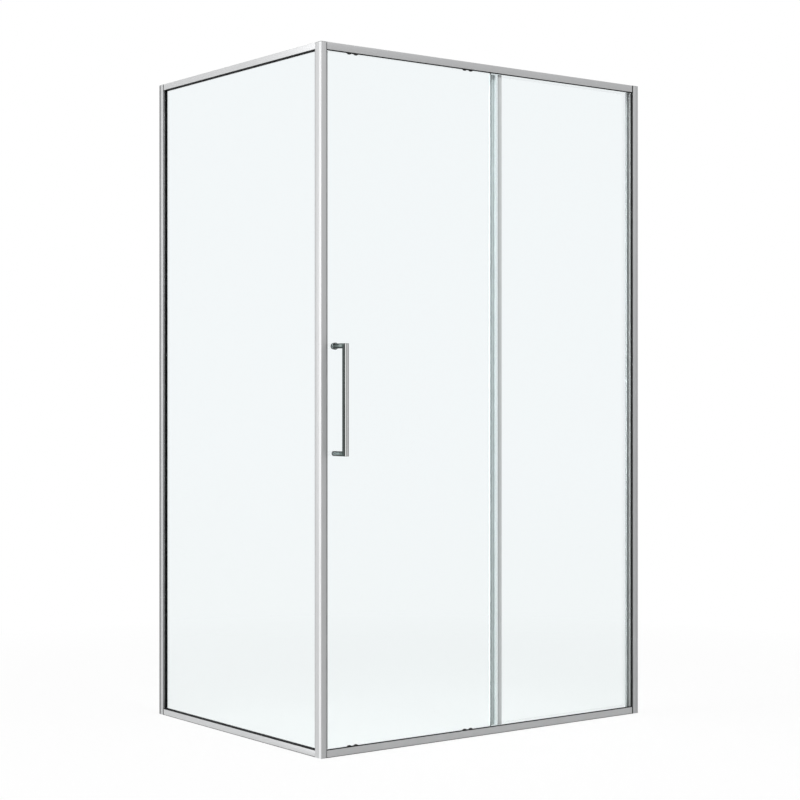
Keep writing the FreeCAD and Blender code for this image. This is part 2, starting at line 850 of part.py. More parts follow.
nodes = {
    "sill": front_rail(True),
    "header": overhead(front_rail(False)),
    "sill_wiper": wiper(),
    "header_wiper": overhead(wiper()),
    "sill_filler": filler(),
    "header_filler": overhead(filler()),
    "end_blocks_left": both(end_block(post_width, 1)),
    "end_blocks_right": both(end_block(jamb_x, -1)),
    "corner_post": corner_post(),
    "corner_cap": corner_cap(),
    "strike_seal": strike_seal(),
    "front_jamb": front_jamb(),
    "side_jamb": side_jamb(),
    "front_wall_profile": front_wall_profile(),
    "side_wall_profile": side_wall_profile(),
    "wall_profile_caps": wall_caps(),
    "corner_infills": corner_infills(),
    "jamb_trim": jamb_trim(),
    "fixed_glass": fixed_glass(),
    "fixed_gasket_bottom": sill_gasket,
    "fixed_gasket_top": overhead(sill_gasket),
    "fixed_gasket_jamb": jamb_gasket(),
    "fixed_edge_strip": fixed_edge_strip(),
    "setting_blocks": setting_blocks(),
    "side_bottom_rail": side_sill,
    "side_top_rail": overhead(side_sill),
    "side_stile": side_stile(),
    "side_glass": side_glass(),
    "side_gasket_bottom": side_sill_gasket,
    "side_gasket_top": overhead(side_sill_gasket),
    "side_gasket_front": side_gasket("Z", side_strip_start, HEIGHT - side_strip_start, side_lead, stile_y),
    "side_gasket_rear": rear_side_gasket(),
    "door_glass": door_glass(),
    "door_leading_seal": leading_seal(),
    "door_trailing_strip": trailing_strip(),
    "lower_carriages": lower_carriages,
    "upper_carriages": [overhead(shape) for shape in lower_carriages],
    "handle": handle(),
    "handle_pad": handle_pad(),
    "handle_bolts": handle_bolts(),
}
wheels = [x for centre in carriages for x in wheel_places(centre)]
for number, x in enumerate(wheels, start=1):
    nodes[f"lower_wheel_{number}"] = wheel(x)
    nodes[f"upper_wheel_{number}"] = overhead(wheel(x))

os.makedirs("parts", exist_ok=True)
for name, pieces in nodes.items():
    shapes = pieces if isinstance(pieces, list) else [pieces]
    solids = [solid for shape in shapes for solid in shape.Solids]
    node = solids[0] if len(solids) == 1 else Part.makeCompound(solids)
    node.translate(-origin)
    node.exportStep(f"parts/{name}.step")
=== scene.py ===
import json
import math

import bmesh
import bpy
from mathutils import Matrix, Vector


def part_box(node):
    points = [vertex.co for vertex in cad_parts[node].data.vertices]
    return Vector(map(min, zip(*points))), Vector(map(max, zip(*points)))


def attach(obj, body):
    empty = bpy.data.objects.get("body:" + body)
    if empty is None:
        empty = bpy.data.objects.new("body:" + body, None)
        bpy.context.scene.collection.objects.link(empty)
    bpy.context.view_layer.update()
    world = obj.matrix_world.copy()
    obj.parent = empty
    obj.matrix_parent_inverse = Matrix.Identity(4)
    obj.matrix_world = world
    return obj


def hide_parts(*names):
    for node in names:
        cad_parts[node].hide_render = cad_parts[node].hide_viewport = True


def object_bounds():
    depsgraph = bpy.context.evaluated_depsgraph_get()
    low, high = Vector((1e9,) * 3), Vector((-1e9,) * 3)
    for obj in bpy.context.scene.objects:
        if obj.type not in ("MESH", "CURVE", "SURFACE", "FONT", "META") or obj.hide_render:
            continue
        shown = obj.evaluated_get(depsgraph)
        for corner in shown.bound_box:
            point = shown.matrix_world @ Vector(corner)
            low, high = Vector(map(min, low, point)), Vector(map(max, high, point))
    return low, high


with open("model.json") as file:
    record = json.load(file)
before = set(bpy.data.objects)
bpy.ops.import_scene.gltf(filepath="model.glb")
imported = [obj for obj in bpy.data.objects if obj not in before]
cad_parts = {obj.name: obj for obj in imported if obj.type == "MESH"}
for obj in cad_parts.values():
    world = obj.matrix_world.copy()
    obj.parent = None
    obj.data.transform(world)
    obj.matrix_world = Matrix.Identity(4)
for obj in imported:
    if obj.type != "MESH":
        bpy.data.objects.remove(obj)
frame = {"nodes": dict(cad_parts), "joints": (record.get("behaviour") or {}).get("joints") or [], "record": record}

# Looks of a corner shower enclosure with a sliding door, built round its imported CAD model.
# Lengths are metres, in the model's own frame: the front faces -Y, and Z rises from the tray.

cad_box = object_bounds()
MM = 0.001
BELOW_ALL = -1.0  # a height under everything here


def high(node):
    """Highest corner of a CAD node's box."""
    return Vector(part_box(node)[1])


def low(node):
    """Lowest corner of a CAD node's box."""
    return Vector(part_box(node)[0])


# ---------------------------------------------------------------- node trees


class Value:
    """An output socket that takes part in arithmetic: each operation adds one Math node."""

    def __init__(self, tree, socket):
        self.tree = tree
        self.socket = socket

    def math(self, operation, first, second):
        return self.tree.node("ShaderNodeMath", {"operation": operation}, {0: first, 1: second})

    def __add__(self, other):
        return self.math("ADD", self, other)

    __radd__ = __add__

    def __sub__(self, other):
        return self.math("SUBTRACT", self, other)

    def __rsub__(self, other):
        return self.math("SUBTRACT", other, self)

    def __mul__(self, other):
        return self.math("MULTIPLY", self, other)

    __rmul__ = __mul__

    def __truediv__(self, other):
        return self.math("DIVIDE", self, other)

    def __pow__(self, other):
        return self.math("POWER", self, other)

    def __gt__(self, other):
        return self.math("GREATER_THAN", self, other)

    def __lt__(self, other):
        return self.math("LESS_THAN", self, other)

    def __abs__(self):
        return self.math("ABSOLUTE", self, 0.0)

    def most(self, other):
        return self.math("MAXIMUM", self, other)

    def sine(self):
        return self.math("SINE", self, 0.0)

    def kept(self):
        """The value held between 0 and 1."""
        return self.tree.node("ShaderNodeClamp", {}, {"Value": self})


class Tree:
    """A node tree filled by one method, which takes a node's type, settings and sockets."""

    def __init__(self, tree):
        self.tree = tree
        tree.nodes.clear()

    def node(self, kind, settings, sockets, out=0):
        """Adds a node and returns one output, or a list of them where a tuple names more."""
        made = self.tree.nodes.new(kind)
        for name, setting in settings.items():
            if name == "stops":
                elements = made.color_ramp.elements
                elements[0].position, elements[0].color = setting[0]
                elements[-1].position, elements[-1].color = setting[-1]
                for place, colour in setting[1:-1]:
                    elements.new(place).color = colour
            else:
                setattr(made, name, setting)
        for name, value in sockets.items():
            if isinstance(value, Value):
                self.tree.links.new(value.socket, made.inputs[name])
            else:
                made.inputs[name].default_value = value
        if isinstance(out, tuple):
            return [Value(self, made.outputs[label]) for label in out]
        return Value(self, made.outputs[out]) if len(made.outputs) else None

    def blend(self, first, second, share):
        """Colour between two others."""
        settings = {"data_type": "RGBA"}
        return self.node("ShaderNodeMix", settings, {0: share, 6: first, 7: second}, 2)

    def toned(self, colour, tone, share):
        """Colour multiplied by a tone where the share says so."""
        settings = {"data_type": "RGBA", "blend_type": "MULTIPLY"}
        return self.node("ShaderNodeMix", settings, {0: share, 6: colour, 7: tone}, 2)

    def place(self, scale=(1.0, 1.0, 1.0), shift=(0.0, 0.0, 0.0)):
        """The object's own coordinates, scaled and shifted."""
        own = self.node("ShaderNodeTexCoord", {}, {}, "Object")
        sockets = {"Vector": own, "Location": shift, "Scale": scale}
        return self.node("ShaderNodeMapping", {}, sockets)

    def parts(self, vector):
        """The three coordinates of a vector."""
        return self.node("ShaderNodeSeparateXYZ", {}, {"Vector": vector}, ("X", "Y", "Z"))

    def noise(self, scale, detail):
        """Noise with so many cells per metre along each of the object's axes."""
        sockets = {"Vector": self.place(scale), "Scale": 1.0, "Detail": detail}
        return self.node("ShaderNodeTexNoise", {}, sockets)

    def directly_seen(self):
        """1 for rays that show the surroundings themselves, and 0 for those that only light."""
        kinds = ("Is Camera Ray", "Is Glossy Ray", "Is Transmission Ray")
        camera_ray, glossy_ray, passed_ray = self.node("ShaderNodeLightPath", {}, {}, kinds)
        return camera_ray.most(glossy_ray).most(passed_ray)

    def bump(self, height, depth, strength):
        """A normal bent by a height that varies over the surface."""
        sockets = {"Height": height, "Distance": depth, "Strength": strength}
        return self.node("ShaderNodeBump", {}, sockets, "Normal")


# ---------------------------------------------------------------- finishes


def finish(name, build):
    """A material whose tree a function fills; the function returns the surface's shader."""
    material = bpy.data.materials.new(name)
    material.use_nodes = True
    tree = Tree(material.node_tree)
    surface = build(tree)
    tree.node("ShaderNodeOutputMaterial", {}, {"Surface": surface})
    return material


def grey(value):
    return (value, value, value, 1.0)


def even(cells):
    """Scales of a pattern with the same number of cells per metre along every axis."""
    return (cells, cells, cells)


def stretched(along, across, slow):
    """Scales of a pattern drawn out along one axis."""
    return tuple(slow if axis == along else across for axis in "XYZ")


def banded(tree, colour, bands):
    """Colour with bands, each of which has a tone, and a start and an end along its axes."""
    own = dict(zip("XYZ", tree.parts(tree.place())))
    for tone, limits in bands:
        inside = 1.0
        for axis, (start, end) in limits.items():
            inside = inside * (own[axis] > start) * (own[axis] < end)
        colour = tree.toned(colour, grey(tone), inside)
    return colour


# Patterns have so many cells per metre across them, and so many along them.
DIE_LINES = 900.0
DIE_LINES_ALONG = 2.5
CLOUDS = 26.0
CLOUDS_ALONG = 5.0
HAIRLINES = 1500.0
HAIRLINES_ALONG = 30.0
FILM = 25.0
FILM_ALONG = 9.0
LINE_SHARE = 0.4
FINE_DEPTH = 0.03 * MM
GRAIN_DEPTH = 0.04 * MM
TRACE_DEPTH = 0.01 * MM


def satin_aluminium(name, along, dark, light, bands=()):
    """Anodised extrusion: die lines run along it, and faint clouds vary its tone."""

    def build(tree):
        lines = tree.noise(stretched(along, DIE_LINES, DIE_LINES_ALONG), 3.0)
        clouds = tree.noise(stretched(along, CLOUDS, CLOUDS_ALONG), 2.0)
        share = ((1.0 - LINE_SHARE) * clouds + LINE_SHARE * lines).kept()
        sockets = {
            "Base Color": banded(tree, tree.blend(dark, light, share), bands),
            "Metallic": 0.3,
            "Roughness": 0.34 + 0.12 * lines,
            "Normal": tree.bump(lines, FINE_DEPTH, 0.5),
        }
        return tree.node("ShaderNodeBsdfPrincipled", {}, sockets)

    return finish(name, build)


GLASS_LOW = (0.872, 0.912, 0.91, 1.0)
GLASS_HIGH = (0.892, 0.931, 0.942, 1.0)
GLASS_SHADOW = (0.95, 0.97, 0.965, 1.0)
TINT_RISE = 2.0


def clear_glass(name):
    """Toughened glass, faintly green-blue, a little deeper in tone towards the tray."""

    def build(tree):
        height = tree.parts(tree.place())[2]
        share = (height / high("door_glass").z).kept()
        streaks = tree.noise(stretched("Z", 3.0, 1.2), 2.0)
        share = (TINT_RISE * share + 0.3 * streaks).kept()
        sockets = {
            "Base Color": tree.blend(GLASS_LOW, GLASS_HIGH, share),
            "Roughness": 0.0,
            "IOR": 1.45,
            "Transmission Weight": 1.0,
        }
        pane = tree.node("ShaderNodeBsdfPrincipled", {}, sockets)
        through = tree.node("ShaderNodeBsdfTransparent", {}, {"Color": GLASS_SHADOW})
        lamps = tree.node("ShaderNodeLightPath", {}, {}, "Is Shadow Ray")
        return tree.node("ShaderNodeMixShader", {}, {0: lamps, 1: pane, 2: through})

    return finish(name, build)


def rubber(name):
    """Black gasket rubber with a fine grain and a trace of dust."""

    def build(tree):
        grain = tree.noise(even(1400.0), 3.0)
        dust = tree.noise(stretched("Z", 40.0, 12.0), 3.0)
        sockets = {
            "Base Color": tree.blend(grey(0.003), (0.014, 0.014, 0.015, 1.0), dust),
            "Roughness": 0.55 + 0.25 * grain,
            "Specular IOR Level": 0.12,
            "Normal": tree.bump(grain, GRAIN_DEPTH, 0.6),
        }
        return tree.node("ShaderNodeBsdfPrincipled", {}, sockets)

    return finish(name, build)


def moulded(name, dark, light, roughness=0.42, bands=()):
    """Moulded plastic: an orange-peel grain and a slightly uneven tone."""

    def build(tree):
        peel = tree.noise(even(800.0), 2.0)
        tone = tree.noise(even(35.0), 3.0)
        sockets = {
            "Base Color": banded(tree, tree.blend(dark, light, tone), bands),
            "Roughness": roughness + 0.15 * peel,
            "Normal": tree.bump(peel, FINE_DEPTH, 0.5),
        }
        return tree.node("ShaderNodeBsdfPrincipled", {}, sockets)

    return finish(name, build)


def clear_vinyl(name):
    """Cloudy, flexible vinyl of the bulb seals, with drawn lines along its length."""

    def build(tree):
        lines = tree.noise(stretched("Z", 700.0, 4.0), 2.0)
        haze = tree.noise(stretched("Z", 60.0, 10.0), 3.0)
        sockets = {
            "Base Color": tree.blend((0.62, 0.66, 0.66, 1.0), (0.78, 0.81, 0.81, 1.0), haze),
            "Roughness": 0.25 + 0.2 * lines,
            "Transmission Weight": 0.45,
            "IOR": 1.5,
            "Normal": tree.bump(lines, GRAIN_DEPTH, 0.4),
        }
        return tree.node("ShaderNodeBsdfPrincipled", {}, sockets)

    return finish(name, build)


LATHE_RINGS = 9000.0  # radians per metre of radius


def turned_acetal(name, centre):
    """White acetal turned on a lathe: fine rings round the wheel's axle."""

    def build(tree):
        x, _, z = tree.parts(tree.place(shift=tuple(-part for part in centre)))
        radius = (x * x + z * z) ** 0.5
        rings = (radius * LATHE_RINGS).sine()
        tone = tree.noise(even(200.0), 3.0)
        sockets = {
            "Base Color": tree.blend((0.66, 0.65, 0.61, 1.0), (0.78, 0.775, 0.75, 1.0), tone),
            "Roughness": 0.35 + 0.05 * rings,
            "Normal": tree.bump(rings, TRACE_DEPTH, 0.5),
        }
        return tree.node("ShaderNodeBsdfPrincipled", {}, sockets)

    return finish(name, build)


PALE_COVER = (0.8, 0.82, 0.82, 1.0)


def polished_steel(name, dark, light, roughness, pale_below=BELOW_ALL):
    """Polished metal with faint hairlines; below a given height it is a low bolt's pale cover."""

    def build(tree):
        hairs = tree.noise(stretched("Z", HAIRLINES, HAIRLINES_ALONG), 3.0)
        film = tree.noise(stretched("Z", FILM, FILM_ALONG), 2.0)
        covered = tree.parts(tree.place())[2] < pale_below
        sockets = {
            "Base Color": tree.blend(tree.blend(dark, light, film), PALE_COVER, covered),
            "Metallic": 1.0,
            "Roughness": roughness + 0.06 * film,
            "Normal": tree.bump(hairs, TRACE_DEPTH, 0.3),
        }
        return tree.node("ShaderNodeBsdfPrincipled", {}, sockets)

    return finish(name, build)


BAR = 13.5 * MM
COLLAR_RADIUS = 9.75 * MM
COLLAR = 5.0 * MM
COLLAR_SHADE_RIM = 0.9 * MM
ARRIS_DEPTH = 1.5 * MM
TOUCH = 0.1 * MM
FACING_FRONT = -0.85
bar_left = 0.5 * (low("handle").x + high("handle").x - BAR)
bar_front = low("handle").y
bar_low = low("handle").z
bar_high = high("handle").z - COLLAR_RADIUS + 0.5 * BAR
bar_middle = 0.5 * (bar_low + bar_high)
leg_offset = 0.5 * (bar_high - bar_low - BAR)
collar_front = low("door_glass").y - COLLAR
# Ramps of painted light across the handle: reflection and highlight bands on the front, shade on the flanks, and
# shading with dark rims on the legs, collars and discs.
FRONT_REFLECTION_STOPS = (
    (0.0, (0.95, 0.97, 0.96, 1.0)),
    (0.22, (0.95, 0.97, 0.96, 1.0)),
    (0.28, (0.37, 0.375, 0.375, 1.0)),
    (0.5, (0.42, 0.425, 0.425, 1.0)),
    (0.58, (0.6, 0.6, 0.6, 1.0)),
    (0.76, (0.58, 0.58, 0.58, 1.0)),
    (0.84, (0.2, 0.205, 0.21, 1.0)),
    (1.0, (0.18, 0.185, 0.19, 1.0)),
)
FLANK_SHADE_STOPS = (
    (0.0, (0.115, 0.145, 0.139, 1.0)),
    (0.36, (0.104, 0.131, 0.126, 1.0)),
    (0.6, (0.095, 0.12, 0.115, 1.0)),
    (0.7, (0.018, 0.023, 0.023, 1.0)),
    (1.0, (0.005, 0.007, 0.007, 1.0)),
)
LEG_SHADE_STOPS = (
    (0.0, (0.3, 0.36, 0.35, 1.0)),
    (0.34, (0.25, 0.3, 0.29, 1.0)),
    (0.48, (0.035, 0.045, 0.044, 1.0)),
    (1.0, (0.012, 0.016, 0.016, 1.0)),
)
COLLAR_LIGHT_SHADE_STOPS = (
    (0.0, (0.42, 0.48, 0.47, 1.0)),
    (0.2, (0.55, 0.62, 0.61, 1.0)),
    (0.6, (0.45, 0.52, 0.51, 1.0)),
    (0.75, (0.02, 0.026, 0.026, 1.0)),
    (1.0, (0.006, 0.008, 0.008, 1.0)),
)
DISC_LIGHT_SHADE_STOPS = (
    (0.0, (0.42, 0.47, 0.46, 1.0)),
    (0.8, (0.45, 0.5, 0.49, 1.0)),
    (0.88, (0.02, 0.025, 0.025, 1.0)),
    (1.0, (0.01, 0.012, 0.012, 1.0)),
)


def handle_chrome(name):
    """Polished square bar whose colour holds painted light: painted reflection bands across its front, painted
    shade on its sides, and painted shading with dark rims on its legs, collars and discs.
    """

    def build(tree):
        x, y, z = tree.parts(tree.place())
        across = ((x - bar_left) / BAR).kept()
        inwards = ((bar_front + BAR - y) / BAR).kept()
        front = tree.node("ShaderNodeValToRGB", {"stops": FRONT_REFLECTION_STOPS}, {"Fac": across})
        flank = tree.node("ShaderNodeValToRGB", {"stops": FLANK_SHADE_STOPS}, {"Fac": inwards})
        facing = tree.parts(tree.node("ShaderNodeTexCoord", {}, {}, "Normal"))[1] < FACING_FRONT
        off_axis = abs(abs(z - bar_middle) - leg_offset) / COLLAR_RADIUS
        side = x - bar_left - 0.5 * BAR
        off_centre = (side * side / COLLAR_RADIUS**2 + off_axis * off_axis) ** 0.5
        leg = tree.node("ShaderNodeValToRGB", {"stops": LEG_SHADE_STOPS}, {"Fac": off_axis.kept()})
        collar = tree.node("ShaderNodeValToRGB", {"stops": COLLAR_LIGHT_SHADE_STOPS}, {"Fac": off_axis.kept()})
        disc = tree.node("ShaderNodeValToRGB", {"stops": DISC_LIGHT_SHADE_STOPS}, {"Fac": off_centre.kept()})
        flank = tree.blend(flank, leg, y > bar_front + BAR)
        # Painted shade: a dark rim at the collar's front edge.
        collar = tree.toned(collar, grey(0.1), y < collar_front + COLLAR_SHADE_RIM)
        collar = tree.blend(collar, disc, facing)
        flank = tree.blend(flank, collar, (y > collar_front - TOUCH) * (z > bar_middle))
        on_front = facing * (y < bar_front + ARRIS_DEPTH)
        hairs = tree.noise(stretched("Z", HAIRLINES, HAIRLINES_ALONG), 3.0)
        film = tree.noise(stretched("Z", FILM, FILM_ALONG), 2.0)
        colour = tree.blend(flank, front, on_front)
        sockets = {
            "Base Color": tree.toned(colour, grey(0.86), film),
            "Metallic": 0.6,
            "Roughness": 0.15 + 0.06 * film + 0.05 * hairs,
            "Normal": tree.bump(hairs, TRACE_DEPTH, 0.3),
        }
        return tree.node("ShaderNodeBsdfPrincipled", {}, sockets)

    return finish(name, build)


FRAME_DARK = (0.48, 0.485, 0.49, 1.0)
FRAME_LIGHT = (0.535, 0.54, 0.546, 1.0)
FOOT = 1.8 * MM
ARRIS_HIGHLIGHT = 0.9 * MM
JOINT_SHADE = 1.2 * MM
NARROW = 0.2 * MM
POST_SHADE_WIDTH = 3.6 * MM
WALL_SHADE_WIDTH = 10.0 * MM
SIDE_WALL_SHADE_WIDTH = 10.5 * MM
SIDE_REVEAL_SHADE = 4.2 * MM
REVEAL_SHADE_START = 1.2 * MM
REVEAL_STEP = 6.2 * MM
REVEAL_SHADE = 14.0 * MM
REVEAL_SEAT = 14.5 * MM
REVEAL_END = 21.0 * MM
front_plane = low("corner_post").y
side_plane = low("corner_post").x
rail_start = low("sill").x
stile_start = low("side_stile").y
far_x = cad_box[1][0]
wall_line = high("side_wall_profile").y
side_reveal = low("side_jamb").y
shaded_foot = (0.06, {"Z": (BELOW_ALL, FOOT)})


def frame_finish(name, along, *bands):
    """Satin finish of the frame; its bands, where an extrusion has them, are painted shade and painted highlight.
    """
    return satin_aluminium(name, along, FRAME_DARK, FRAME_LIGHT, bands)


def strip(plane, start, end):
    """Limits of a band between two distances behind a plane."""
    return (plane + start, plane + end)


post_edge = strip(side_plane, -NARROW, NARROW)
rail_finish = {
    "sill": frame_finish("satin_sill", "X", shaded_foot),
    "header": frame_finish("satin_header", "X"),
    "side_bottom_rail": frame_finish("satin_side_bottom_rail", "Y", shaded_foot),
    "side_top_rail": frame_finish("satin_side_top_rail", "Y"),
    "side_stile": frame_finish(
        "satin_stile",
        "Z",
        # Painted shade: a dark line on the stile at its seam with the post.
        (0.7, {"Y": strip(stile_start, -NARROW, JOINT_SHADE)}),
    ),
    "corner_post": frame_finish(
        "satin_post",
        "Z",
        # Painted highlight: a light band along the post's outer arris.
        (1.5, {"X": strip(side_plane, -NARROW, ARRIS_HIGHLIGHT)}),
        # Painted shade: a dark band on the post's edge beside the rails.
        (0.55, {"X": strip(rail_start, -POST_SHADE_WIDTH, NARROW)}),
        # Painted shade: a dark mark on the post's edge at its seam with the stile.
        (0.8, {"X": post_edge, "Y": strip(stile_start, -JOINT_SHADE, 0.0)}),
    ),
    "front_jamb": frame_finish(
        "satin_front_jamb",
        "Z",
        # Painted highlight on the jamb's front edge, then painted shade in its reveal: a near-black band, a
        # lighter shaded band and a dark band deeper in.
        (1.1, {"Y": strip(front_plane, -NARROW, NARROW)}),
        (0.02, {"Y": strip(front_plane, REVEAL_SHADE_START, REVEAL_STEP)}),
        (0.72, {"Y": strip(front_plane, REVEAL_STEP, REVEAL_SEAT)}),
        (0.26, {"Y": strip(front_plane, REVEAL_SHADE, REVEAL_END)}),
    ),
    "front_wall_profile": frame_finish(
        "satin_front_wall",
        "Z",
        # Painted shade: a darker band along the wall profile's outer edge.
        (0.88, {"X": strip(far_x, -WALL_SHADE_WIDTH, NARROW)}),
    ),
    "side_jamb": frame_finish(
        "satin_side_jamb",
        "Z",
        # Painted shade: a darker band in the side jamb's reveal.
        (0.36, {"Y": strip(side_reveal, -NARROW, SIDE_REVEAL_SHADE)}),
    ),
    "side_wall_profile": frame_finish(
        "satin_side_wall",
        "Z",
        # Painted shade: a darker band along the side wall profile's edge by the wall.
        (0.4, {"Y": strip(wall_line, -SIDE_WALL_SHADE_WIDTH, NARROW)}),
    ),
}
glass = clear_glass("clear_glass")
gasket_rubber = rubber("gasket_rubber")
FIXED_LIP = 1.8 * MM
FIXED_DEPTH = 6.2 * MM
FIXED_BACK = 30.0 * MM
FIXED_SHADE = 4.0 * MM
FIXED_EDGE = 1.6 * MM
fixed_left = low("fixed_edge_strip").x
fixed_right = high("fixed_edge_strip").x
fixed_front = low("fixed_edge_strip").y
fixed_lip_shade = {
    "X": strip(fixed_left, -NARROW, FIXED_LIP),
    "Y": strip(fixed_front, -NARROW, FIXED_DEPTH),
}
fixed_return_highlight = {
    "X": strip(fixed_left, -NARROW, NARROW),
    "Y": strip(fixed_front, FIXED_DEPTH, FIXED_BACK),
}
# The fixed strip's bands are painted light: painted shade on its front lip and beside its right edge, and painted
# highlights on its left return and its right edge.
fixed_grey = moulded(
    "fixed_strip_grey",
    (0.41, 0.44, 0.44, 1.0),
    (0.48, 0.51, 0.51, 1.0),
    bands=(
        (0.2, fixed_lip_shade),
        (1.9, fixed_return_highlight),
        (0.55, {"X": strip(fixed_right, -FIXED_SHADE, -FIXED_EDGE)}),
        (1.8, {"X": strip(fixed_right, -FIXED_EDGE, NARROW)}),
    ),
)
DOOR_LIP = 1.5 * MM
DOOR_SHADE = 5.5 * MM
# The door strip is the fixed strip's grey plastic, painted lighter to stand in for the light it catches; its band
# is painted shade.
door_grey_painted_lit = moulded(
    "door_strip_grey",
    (0.62, 0.65, 0.65, 1.0),
    (0.7, 0.73, 0.73, 1.0),
    bands=((0.76, {"X": strip(low("door_trailing_strip").x, DOOR_LIP, DOOR_SHADE)}),),
)
vinyl = clear_vinyl("clear_vinyl")
cap_grey = moulded("moulded_cap", (0.36, 0.365, 0.37, 1.0), (0.44, 0.445, 0.45, 1.0))
block_black = moulded("moulded_block", grey(0.012), grey(0.022), roughness=0.5)
carriage_grey = moulded(
    "moulded_carriage",
    (0.03, 0.031, 0.033, 1.0),
    (0.055, 0.057, 0.06, 1.0),
    roughness=0.38,
)
handle_metal = handle_chrome("polished_handle")
bolt_metal = polished_steel(
    "polished_bolts",
    (0.012, 0.014, 0.014, 1.0),
    (0.03, 0.034, 0.033, 1.0),
    roughness=0.16,
    pale_below=bar_middle,
)
screw_steel = polished_steel(
    "screw_steel",
    (0.34, 0.34, 0.345, 1.0),
    (0.46, 0.46, 0.465, 1.0),
    roughness=0.25,
)
pad_black = rubber("handle_pad_rubber")

# The rails, the grey strips and the wheels have finishes of their own, node by node.
worn = {
    "pane_glass": glass,
    "dark_rubber": gasket_rubber,
    "clear_seal": vinyl,
    "cap_plastic": cap_grey,
    "block_plastic": block_black,
    "carriage_plastic": carriage_grey,
    "handle_chrome": handle_metal,
    "pad_dark": pad_black,
}
slots = {part["node"]: part["material_slot"] for part in frame["record"]["subparts"]}
carriers = {}
for body, nodes in frame["record"]["behaviour"]["bodies"].items():
    for node in nodes:
        carriers[node] = body


def dress(node, material):
    """Gives every material slot of a CAD node one finish."""
    for holder in frame["nodes"][node].material_slots:
        holder.material = material


for node in frame["nodes"]:
    if slots[node] in worn:
        dress(node, worn[slots[node]])
for node, material in rail_finish.items():
    dress(node, material)
dress("fixed_edge_strip", fixed_grey)
dress("door_trailing_strip", door_grey_painted_lit)

wheel_centres = {}
for joint in frame["joints"]:
    if joint["type"] == "hinge":
        wheel_centres[joint["child"]] = Vector(joint["pos_m"])

# ---------------------------------------------------------------- meshes

KEPT_SHARP = math.radians(35.0)
WELD = 0.01 * MM
FLAT = math.radians(1.0)
ROUNDED = math.radians(40.0)
ROUND_STEPS = 2


def show(name, mesh, body, material):
    """A finished piece: its mesh, the body that carries it and its finish."""
    piece = bpy.data.objects.new(name, mesh)
    bpy.context.collection.objects.link(piece)
    mesh.materials.clear()
    mesh.materials.append(material)
    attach(piece, body)
    return piece


def evaluated(holder):
    """The plain mesh that an object's modifiers give; the object is then removed."""
    graph = bpy.context.evaluated_depsgraph_get()
    mesh = bpy.data.meshes.new_from_object(holder.evaluated_get(graph), depsgraph=graph)
    bpy.data.objects.remove(holder)
    return mesh


def smooth(mesh):
    """Smooth shading with every sharp edge kept sharp."""
    mesh.shade_smooth()
    mesh.set_sharp_from_angle(angle=KEPT_SHARP)


def eased(node, width, material):
    """Copy of a CAD node whose edges have a small round; it stands in the node's place."""
    solid = bmesh.new()
    solid.from_mesh(frame["nodes"][node].data)
    bmesh.ops.remove_doubles(solid, verts=solid.verts, dist=WELD)
    bmesh.ops.dissolve_limit(solid, angle_limit=FLAT, verts=solid.verts, edges=solid.edges)
    mesh = bpy.data.meshes.new(node + "_eased")
    solid.to_mesh(mesh)
    solid.free()
    holder = bpy.data.objects.new(node + "_holder", mesh)
    bpy.context.collection.objects.link(holder)
    bevel = holder.modifiers.new("round", "BEVEL")
    bevel.width = width
    bevel.segments = ROUND_STEPS
    bevel.limit_method = "ANGLE"
    bevel.angle_limit = ROUNDED
    bevel.use_clamp_overlap = True
    made = evaluated(holder)
    box = (low(node), high(node))
    for corner in made.vertices:
        limits = zip(corner.co, *box)
        corner.co = Vector(min(max(part, least), most) for part, least, most in limits)
    smooth(made)
    piece = show(node + "_eased", made, carriers[node], material)
    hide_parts(node)


def turned(name, outline, centre, segments):
    """Closed ring turned about an axle along Y; its outline runs once round its section."""
    solid = bmesh.new()
    rings = []
    for radius, depth in outline:
        ring = []
        for step in range(segments):
            angle = 2 * math.pi * step / segments
            offset = Vector((radius * math.cos(angle), depth, radius * math.sin(angle)))
            ring.append(solid.verts.new(centre + offset))
        rings.append(ring)
    for one, other in zip(rings, rings[1:] + rings[:1]):
        for step in range(segments):
            after = (step + 1) % segments
            solid.faces.new((one[step], one[after], other[after], other[step]))
    bmesh.ops.recalc_face_normals(solid, faces=solid.faces)
    mesh = bpy.data.meshes.new(name)
    solid.to_mesh(mesh)
    solid.free()
    smooth(mesh)
    return mesh


# ---------------------------------------------------------------- rows of screws, caps and guards

HEAD_SIDES = 40
HEX = 6
ARCH_STEPS = 14
ARCH_START = math.radians(38.0)
ARCH_SWEEP = math.radians(104.0)
ORIGIN = (0.0, 0.0, 0.0)
ROW_INPUTS = (
    ("Count", "NodeSocketInt", 1),
    ("Start", "NodeSocketVector", ORIGIN),
    ("Step", "NodeSocketVector", ORIGIN),
    ("Turn", "NodeSocketVector", ORIGIN),
    ("Finish", "NodeSocketMaterial", None),
)


